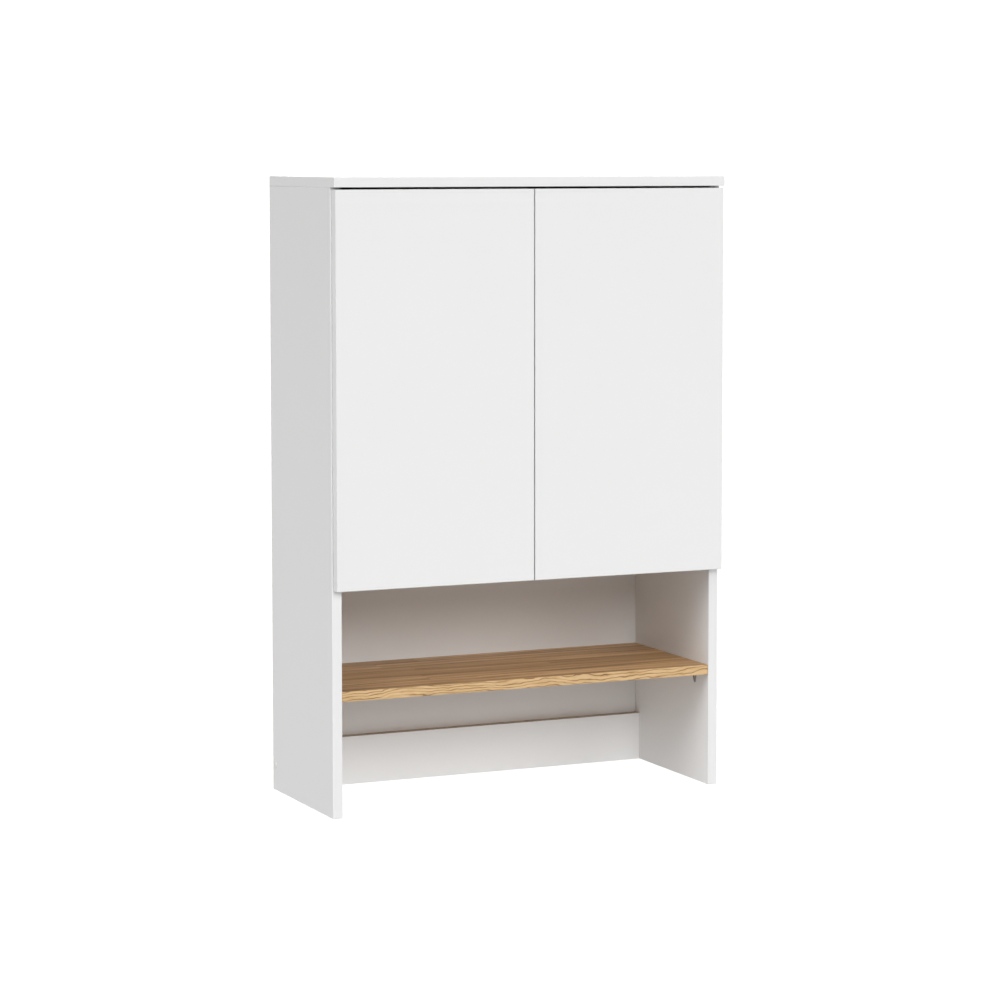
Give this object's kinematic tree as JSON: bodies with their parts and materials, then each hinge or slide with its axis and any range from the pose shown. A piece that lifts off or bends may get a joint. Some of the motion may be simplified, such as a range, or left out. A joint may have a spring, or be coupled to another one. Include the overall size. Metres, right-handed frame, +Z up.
{
  "type": "hanging wall cabinet",
  "caption": "Tall white hanging wall cabinet: handleless doors on concealed hinges over an open niche with a loose oak-finish shelf, open bay and rear rail below",
  "frame": {"origin": "bottom centre of the whole cabinet's box, at the lower edges of the sides", "axes": "+X to the right seen from the front, +Y to the wall, +Z up; the doors face -Y"},
  "size_m": [0.681, 0.289, 1.004],
  "materials": {
    "white_board": "white melamine-faced chipboard, fine matt grain, white edge bands",
    "oak_board": "craft oak melamine decor, staves along the width, matt",
    "hardboard": "white-faced hardboard, bare brown rear",
    "nickel": "nickel-plated pressed steel",
    "zinc": "zinc-plated steel and die-cast zinc",
    "white_plastic": "white moulded plastic",
    "soft_bumper": "clear soft bumper"
  },
  "bodies": {
    "root": {"top_panel": "white_board", "side_left": "white_board", "side_right": "white_board", "cabinet_floor": "white_board", "rear_rail": "white_board", "back_board": "hardboard", "oak_shelf": "oak_board", "inner_shelf": "white_board", "left_upper_hinge_arm": "nickel", "left_upper_hinge_mounting_plate": "zinc", "left_lower_hinge_arm": "nickel", "left_lower_hinge_mounting_plate": "zinc", "left_hanger_housing": "white_plastic", "left_hanger_hook": "zinc", "left_rail_screw": "zinc", "left_rail_screw_cap": "white_plastic", "left_front_shelf_support": "nickel", "left_front_shelf_pin": "nickel", "left_front_top_cam": "zinc", "left_front_floor_cam": "zinc", "left_rear_shelf_support": "nickel", "left_rear_shelf_pin": "nickel", "left_rear_top_cam": "zinc", "left_rear_floor_cam": "zinc", "right_upper_hinge_arm": "nickel", "right_upper_hinge_mounting_plate": "zinc", "right_lower_hinge_arm": "nickel", "right_lower_hinge_mounting_plate": "zinc", "right_hanger_housing": "white_plastic", "right_hanger_hook": "zinc", "right_rail_screw": "zinc", "right_rail_screw_cap": "white_plastic", "right_front_shelf_support": "nickel", "right_front_shelf_pin": "nickel", "right_front_top_cam": "zinc", "right_front_floor_cam": "zinc", "right_rear_shelf_support": "nickel", "right_rear_shelf_pin": "nickel", "right_rear_top_cam": "zinc", "right_rear_floor_cam": "zinc"},
    "left_outer_links": {"left_upper_hinge_outer_link": "nickel", "left_lower_hinge_outer_link": "nickel"},
    "left_door": {"left_door": "white_board", "left_door_bumper": "soft_bumper", "left_upper_hinge_cup": "nickel", "left_lower_hinge_cup": "nickel"},
    "left_inner_links": {"left_upper_hinge_inner_link": "nickel", "left_lower_hinge_inner_link": "nickel"},
    "right_outer_links": {"right_upper_hinge_outer_link": "nickel", "right_lower_hinge_outer_link": "nickel"},
    "right_door": {"right_door": "white_board", "right_door_bumper": "soft_bumper", "right_upper_hinge_cup": "nickel", "right_lower_hinge_cup": "nickel"},
    "right_inner_links": {"right_upper_hinge_inner_link": "nickel", "right_lower_hinge_inner_link": "nickel"}
  },
  "joints": [
    {"name": "left_outer_link_swing", "type": "hinge", "parent": "root", "child": "left_outer_links", "pos_m": [-0.3094, -0.1135, 0.673], "axis": [0, 0, 1], "range_deg": [0, 10]},
    {"name": "left_door_swing", "type": "hinge", "parent": "left_outer_links", "child": "left_door", "pos_m": [-0.3318, -0.1328, 0.673], "axis": [0, 0, 1], "range_deg": [-104.9, 0]},
    {"name": "left_inner_link_swing", "type": "hinge", "parent": "left_door", "child": "left_inner_links", "pos_m": [-0.3318, -0.1383, 0.673], "axis": [0, 0, 1], "range_deg": [0, 88]},
    {"name": "right_outer_link_swing", "type": "hinge", "parent": "root", "child": "right_outer_links", "pos_m": [0.3094, -0.1135, 0.673], "axis": [0, 0, 1], "range_deg": [-10, 0]},
    {"name": "right_door_swing", "type": "hinge", "parent": "right_outer_links", "child": "right_door", "pos_m": [0.3318, -0.1328, 0.673], "axis": [0, 0, 1], "range_deg": [0, 104.9]},
    {"name": "right_inner_link_swing", "type": "hinge", "parent": "right_door", "child": "right_inner_links", "pos_m": [0.3318, -0.1383, 0.673], "axis": [0, 0, 1], "range_deg": [-88, 0]}
  ],
  "couplings": [
    {"joint": "left_outer_link_swing", "follows": "left_door_swing", "ratio": -0.0944},
    {"joint": "left_inner_link_swing", "follows": "left_door_swing", "ratio": -0.8341},
    {"joint": "right_outer_link_swing", "follows": "right_door_swing", "ratio": -0.0944},
    {"joint": "right_inner_link_swing", "follows": "right_door_swing", "ratio": -0.8341}
  ]
}
